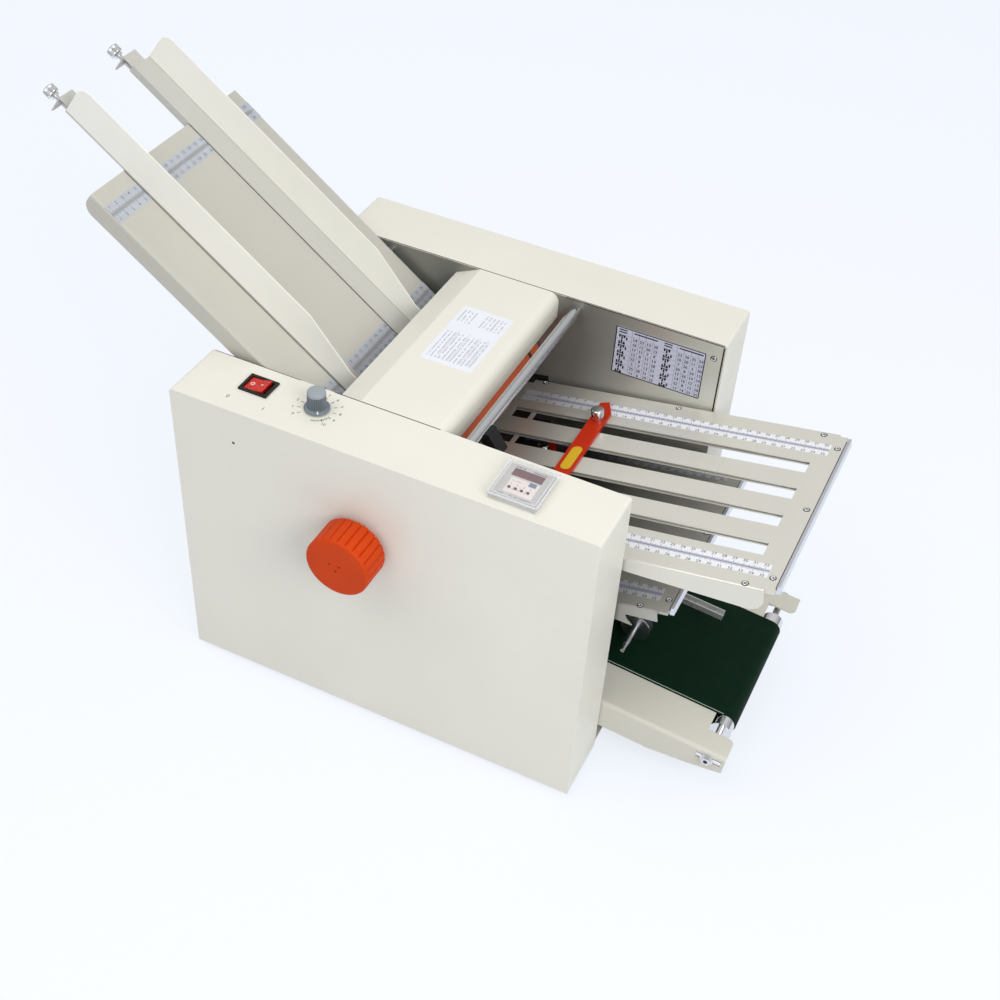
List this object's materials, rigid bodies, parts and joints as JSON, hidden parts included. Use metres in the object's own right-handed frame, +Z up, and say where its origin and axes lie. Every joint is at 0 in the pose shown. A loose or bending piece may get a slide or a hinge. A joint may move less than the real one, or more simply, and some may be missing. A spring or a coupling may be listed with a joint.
{
  "type": "paper folding machine",
  "caption": "Desk paper folding machine with a sloping feed tray, slotted fold plates with sliding stops, an orange hand knob and a green delivery conveyor.",
  "frame": {"origin": "middle of the whole machine in plan, on the bench surface under the rubber feet", "axes": "+X from the feed tray to the conveyor, +Y away from the side with the controls, +Z up"},
  "size_m": [0.8092, 0.4398, 0.5551],
  "materials": {
    "ivory_paint": "semi-gloss powder coat",
    "tray_paint": "satin powder coat",
    "stainless": "brushed",
    "chrome": "polished",
    "steel": "turned",
    "plate_steel": "satin",
    "bar_aluminium": "satin",
    "orange_plastic": "moulded",
    "orange_paint": "gloss",
    "orange_rubber": "ground",
    "green_belt": "woven face",
    "black_rubber": "matt",
    "black_plastic": "moulded",
    "grey_plastic": "moulded",
    "red_plastic": "moulded",
    "clear_plastic": "clear",
    "counter_plastic": "moulded",
    "key_blue": "moulded",
    "motor_paint": "satin",
    "bronze": "sintered"
  },
  "bodies": {
    "frame": {"near_cover": "ivory_paint", "far_cover": "ivory_paint", "near_side_plate": "stainless", "far_side_plate": "stainless", "base_pan": "ivory_paint", "rubber_feet": "black_rubber", "hood": "ivory_paint", "tie_bar": "chrome", "cross_rods": "steel", "sheet_sensor": "black_plastic", "feed_tray": "tray_paint", "separator_block": "black_rubber", "paper_chute": "steel", "inner_deflector": "steel", "shaft_bearings": "bronze", "motor": "motor_paint", "drive_belts": "black_rubber", "upper_plate_top": "plate_steel", "upper_plate_bottom": "plate_steel", "lower_plate_top": "plate_steel", "lower_plate_bottom": "plate_steel", "plate_end_bars": "bar_aluminium", "plate_supports": "black_plastic", "near_rail": "ivory_paint", "far_rail": "ivory_paint", "conveyor_belt": "green_belt", "rail_bolts": "chrome", "press_bars": "steel", "switch_bezel": "black_plastic", "speed_control": "black_plastic", "counter_body": "counter_plastic", "power_inlet": "black_plastic"},
    "first_roller": {"fold_roller_1": "black_rubber", "hand_knob": "orange_plastic"},
    "second_roller": {"fold_roller_2": "black_rubber"},
    "third_roller": {"fold_roller_3": "black_rubber"},
    "fourth_roller": {"fold_roller_4": "black_rubber"},
    "fifth_roller": {"fold_roller_5": "black_rubber"},
    "top_roller": {"upper_roller": "orange_rubber"},
    "feeder": {"feed_roller": "black_rubber"},
    "motor_shaft": {"motor_pulley": "steel"},
    "outer_belt_drum": {"outer_belt_roller": "chrome"},
    "inner_belt_drum": {"inner_belt_roller": "steel"},
    "press": {"press_wheels": "chrome"},
    "power_rocker": {"rocker": "red_plastic"},
    "speed_dial": {"speed_knob": "grey_plastic"},
    "key_1": {"counter_key_1": "red_plastic"},
    "key_2": {"counter_key_2": "red_plastic"},
    "key_3": {"counter_key_3": "red_plastic"},
    "key_4": {"counter_key_4": "red_plastic"},
    "key_reset": {"reset_key": "key_blue"},
    "counter_lid": {"counter_cover": "clear_plastic"},
    "near_side_guide": {"near_guide": "tray_paint"},
    "far_side_guide": {"far_guide": "tray_paint"},
    "near_screw": {"near_guide_screw": "chrome"},
    "far_screw": {"far_guide_screw": "chrome"},
    "upper_paper_stop": {"upper_stop": "orange_paint"},
    "lower_paper_stop": {"lower_stop": "orange_paint"},
    "upper_stop_screw": {"upper_stop_knob": "chrome"},
    "lower_stop_screw": {"lower_stop_knob": "chrome"}
  },
  "joints": [
    {"name": "first_roller_turn", "type": "hinge", "parent": "frame", "child": "first_roller", "pos_m": [0.02167, 0.0205, 0.249], "axis": [0, 1, 0], "continuous": true},
    {"name": "second_roller_turn", "type": "hinge", "parent": "frame", "child": "second_roller", "pos_m": [0.02515, 0.0205, 0.21588], "axis": [0, 1, 0], "continuous": true},
    {"name": "third_roller_turn", "type": "hinge", "parent": "frame", "child": "third_roller", "pos_m": [0.0423, 0.0205, 0.18734], "axis": [0, 1, 0], "continuous": true},
    {"name": "fourth_roller_turn", "type": "hinge", "parent": "frame", "child": "fourth_roller", "pos_m": [0.04979, 0.0205, 0.15489], "axis": [0, 1, 0], "continuous": true},
    {"name": "fifth_roller_turn", "type": "hinge", "parent": "frame", "child": "fifth_roller", "pos_m": [0.08196, 0.0205, 0.14627], "axis": [0, 1, 0], "continuous": true},
    {"name": "top_roller_turn", "type": "hinge", "parent": "frame", "child": "top_roller", "pos_m": [0.04395, 0.0205, 0.27375], "axis": [0, 1, 0], "continuous": true},
    {"name": "feeder_turn", "type": "hinge", "parent": "frame", "child": "feeder", "pos_m": [-0.01578, 0.0205, 0.3037], "axis": [0, 1, 0], "continuous": true},
    {"name": "motor_turn", "type": "hinge", "parent": "frame", "child": "motor_shaft", "pos_m": [-0.08483, 0.0205, 0.105], "axis": [0, 1, 0], "continuous": true},
    {"name": "inner_drum_turn", "type": "hinge", "parent": "frame", "child": "inner_belt_drum", "pos_m": [0.02708, 0.0205, 0.08592], "axis": [0, 1, 0], "continuous": true},
    {"name": "outer_drum_turn", "type": "hinge", "parent": "frame", "child": "outer_belt_drum", "pos_m": [0.37677, 0.0205, 0.05225], "axis": [0, 1, 0], "continuous": true},
    {"name": "press_wheels_turn", "type": "hinge", "parent": "frame", "child": "press", "pos_m": [0.25719, 0.0205, 0.09264], "axis": [0, 1, 0], "continuous": true},
    {"name": "rocker_tip", "type": "hinge", "parent": "frame", "child": "power_rocker", "pos_m": [-0.10883, -0.13535, 0.3499], "axis": [0, 1, 0], "range_deg": [0, 18]},
    {"name": "speed_turn", "type": "hinge", "parent": "frame", "child": "speed_dial", "pos_m": [-0.04433, -0.13735, 0.3539], "axis": [0, 0, 1], "range_deg": [-135, 135]},
    {"name": "key_1_press", "type": "slide", "parent": "frame", "child": "key_1", "axis": [0, 0, -1], "range_m": [0, 0.0008], "stiffness_N_per_m": 300, "springref_m": -0.0003},
    {"name": "key_2_press", "type": "slide", "parent": "frame", "child": "key_2", "axis": [0, 0, -1], "range_m": [0, 0.0008], "stiffness_N_per_m": 300, "springref_m": -0.0003},
    {"name": "key_3_press", "type": "slide", "parent": "frame", "child": "key_3", "axis": [0, 0, -1], "range_m": [0, 0.0008], "stiffness_N_per_m": 300, "springref_m": -0.0003},
    {"name": "key_4_press", "type": "slide", "parent": "frame", "child": "key_4", "axis": [0, 0, -1], "range_m": [0, 0.0008], "stiffness_N_per_m": 300, "springref_m": -0.0003},
    {"name": "reset_press", "type": "slide", "parent": "frame", "child": "key_reset", "axis": [0, 0, -1], "range_m": [0, 0.0008], "stiffness_N_per_m": 300, "springref_m": -0.0003},
    {"name": "lid_open", "type": "hinge", "parent": "frame", "child": "counter_lid", "pos_m": [0.17067, -0.11885, 0.3542], "axis": [-1, 0, 0], "range_deg": [0, 88]},
    {"name": "near_guide_slide", "type": "slide", "parent": "frame", "child": "near_side_guide", "axis": [0, 1, 0], "range_m": [-0.045, 0.03]},
    {"name": "far_guide_slide", "type": "slide", "parent": "frame", "child": "far_side_guide", "axis": [0, 1, 0], "range_m": [-0.03, 0.045]},
    {"name": "near_screw_turn", "type": "hinge", "parent": "near_side_guide", "child": "near_screw", "pos_m": [-0.38589, -0.03435, 0.52569], "axis": [0.8105, 0, -0.5858], "range_deg": [0, 540]},
    {"name": "far_screw_turn", "type": "hinge", "parent": "far_side_guide", "child": "far_screw", "pos_m": [-0.38589, 0.06615, 0.52569], "axis": [0.8105, 0, -0.5858], "range_deg": [0, 540]},
    {"name": "upper_stop_slide", "type": "slide", "parent": "frame", "child": "upper_paper_stop", "axis": [0.9852, 0, 0.1716], "range_m": [-0.05, 0.205]},
    {"name": "upper_stop_screw_turn", "type": "hinge", "parent": "upper_paper_stop", "child": "upper_stop_screw", "pos_m": [0.15318, 0.09115, 0.25875], "axis": [-0.1716, 0, 0.9852], "range_deg": [0, 540]},
    {"name": "lower_stop_slide", "type": "slide", "parent": "frame", "child": "lower_paper_stop", "axis": [0.982, 0, 0.1891], "range_m": [-0.006, 0.175]},
    {"name": "lower_stop_screw_turn", "type": "hinge", "parent": "lower_paper_stop", "child": "lower_stop_screw", "pos_m": [0.097, 0.09115, 0.18764], "axis": [-0.1891, 0, 0.982], "range_deg": [0, 540]}
  ],
  "couplings": [
    {"joint": "second_roller_turn", "follows": "first_roller_turn", "ratio": -1},
    {"joint": "third_roller_turn", "follows": "first_roller_turn", "ratio": 1},
    {"joint": "fourth_roller_turn", "follows": "first_roller_turn", "ratio": -1},
    {"joint": "fifth_roller_turn", "follows": "first_roller_turn", "ratio": 1},
    {"joint": "top_roller_turn", "follows": "first_roller_turn", "ratio": -1},
    {"joint": "feeder_turn", "follows": "first_roller_turn", "ratio": 0.6},
    {"joint": "motor_turn", "follows": "first_roller_turn", "ratio": -2},
    {"joint": "inner_drum_turn", "follows": "first_roller_turn", "ratio": -1},
    {"joint": "outer_drum_turn", "follows": "first_roller_turn", "ratio": -1}
  ]
}
